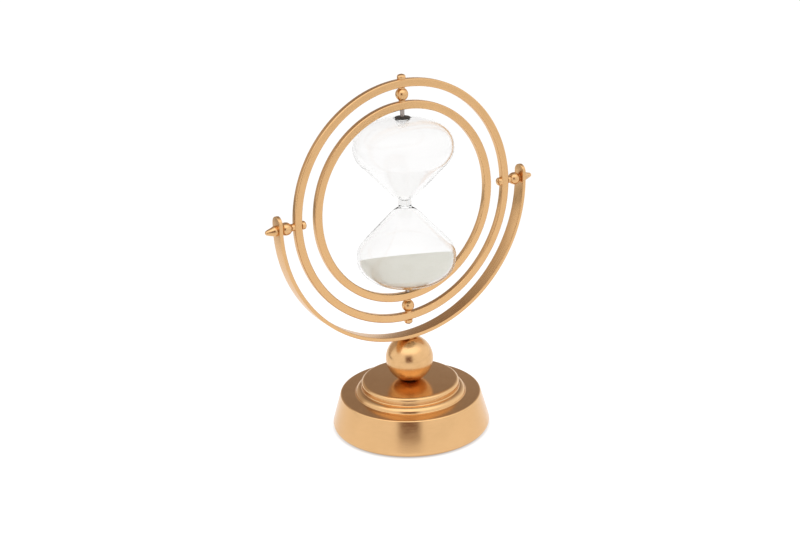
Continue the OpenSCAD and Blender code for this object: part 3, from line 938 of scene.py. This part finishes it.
def build_room(front_dir, camera_right):
    """White room with a large soft light high up in front, whose light depends on direction only.

    The dim side is a round patch behind, above a low white wall, with a dim corner to its left. The
    dim gap in front is where whoever works the camera stands. Seen directly, the room is plain.
    """
    world = bpy.data.worlds.new("studio")
    bpy.context.scene.world = world
    world.use_nodes = True
    tree = world.node_tree
    direction = tree.nodes.new("ShaderNodeTexCoord").outputs["Generated"]
    height = node(tree, "ShaderNodeSeparateXYZ", None, i0=direction).outputs[2]
    front = along(tree, direction, front_dir)
    across = along(tree, direction, camera_right)

    turn, lift = math.radians(DIM_AZIMUTH), math.radians(DIM_ELEVATION)
    dim_dir = ((front_dir * math.cos(turn) + camera_right * math.sin(turn)) * math.cos(lift)
               + Vector((0, 0, math.sin(lift))))
    dim_limits = math.cos(math.radians(DIM_GONE)), math.cos(math.radians(DIM_FULL))
    dim = fade(tree, along(tree, direction, dim_dir), dim_limits)
    colour = colour_mix(tree, dim, ROOM_LIGHT, DIM_LIGHT)
    colour = colour_mix(tree, fade(tree, height, WALL_UP), colour, ROOM_LIGHT)
    corner = product(tree, fade(tree, front, CORNER_FRONT), fade(tree, front, CORNER_BACK),
                     fade(tree, across, CORNER_LEFT), fade(tree, height, CORNER_UP))
    colour = colour_mix(tree, corner, colour, CORNER_LIGHT)
    off_centre = math_node(tree, "ABSOLUTE", math_node(tree, "ADD", across, GAP_SHIFT))
    gap = product(tree, fade(tree, off_centre, GAP_ASIDE), fade(tree, height, GAP_UP),
                  fade(tree, front, GAP_FRONT))
    colour = colour_mix(tree, gap, colour, GAP_LIGHT)
    soft = product(tree, fade(tree, height, SOFT_UP), fade(tree, front, SOFT_FRONT), SOFT_LIGHT)
    strength = math_node(tree, "ADD", soft, 1.0)

    seen = seen_directly(tree)
    background = tree.nodes["Background"]
    tree.links.new(colour_mix(tree, seen, colour, ROOM_LIGHT), background.inputs["Color"])
    tree.links.new(remap(tree, seen, 0.0, 1.0, strength, 1.0), background.inputs["Strength"])


def pale_floor(front_dir, camera_right):
    """Pale floor that glows evenly where it is seen.

    It glows a little less near the camera, behind the object and far out to the right. Under the
    base the glow drops to a painted contact shadow. Left of the view and behind, it is dim where it only
    lights things.
    """
    material, tree, principled = shader("pale_floor", "pale floor", Roughness=1.0,
                                        Emission_Color=(1, 1, 1, 1), Specular_IOR_Level=0.0)
    place = object_place(tree)
    toward = along(tree, place, front_dir)
    aside = along(tree, place, camera_right)
    reach = node(tree, "ShaderNodeVectorMath", {"operation": "LENGTH"}, i0=place).outputs["Value"]
    widening = math_node(tree, "MULTIPLY", math_node(tree, "MINIMUM", toward, 0.0), VIEW_SPREAD)
    past_right = math_node(tree, "ADD", aside, widening)
    past_left = math_node(tree, "SUBTRACT", widening, aside)
    # The last factor is a painted contact shadow: the glow falls to 0.3 just under the base's rim.
    glow_and_painted_shadow = product(tree, remap(tree, toward, 0.15, 1.1, 0.8, 0.6),
                   remap(tree, toward, -0.45, -0.15, 0.85, 1.0),
                   remap(tree, past_right, 0.45, 1.0, 1.0, 0.8),
                   remap(tree, reach, 0.06, 0.067, 0.3, 1.0))
    unseen = math_node(tree, "SUBTRACT", 1.0, seen_directly(tree))
    dim = product(tree, fade(tree, past_left, (0.36, 0.66)), fade(tree, toward, (0.2, -0.1)), unseen)
    lit = math_node(tree, "SUBTRACT", 1.0, product(tree, dim, FLOOR_DIM_LOSS))
    tree.links.new(product(tree, glow_and_painted_shadow, lit), principled.inputs["Emission Strength"])
    tree.links.new(colour_mix(tree, dim, FLOOR_PALE, FLOOR_DIM), principled.inputs["Base Color"])
    return material


def build_floor(material):
    """Round floor at z = 0."""
    mesh = bpy.data.meshes.new("floor")
    a = np.linspace(0, 2 * np.pi, 64, endpoint=False)
    corners = np.stack([FLOOR_R * np.cos(a), FLOOR_R * np.sin(a), np.zeros_like(a)], axis=1)
    mesh.from_pydata(corners.tolist(), [], [list(range(len(a)))])
    floor = bpy.data.objects.new("floor", mesh)
    bpy.context.scene.collection.objects.link(floor)
    mesh.materials.append(material)


def build_studio(camera_out, camera_right):
    """Room and floor, both turned to the camera's side."""
    front_dir = Vector((camera_out.x, camera_out.y, 0)).normalized()
    build_room(front_dir, camera_right)
    build_floor(pale_floor(front_dir, camera_right))
    bpy.context.scene.view_settings.view_transform = "Standard"


camera_out, camera_right = build_camera()
build_studio(camera_out, camera_right)
build_stand()
build_flip_ring()
build_glass_ring()
dress_hidden_parts()
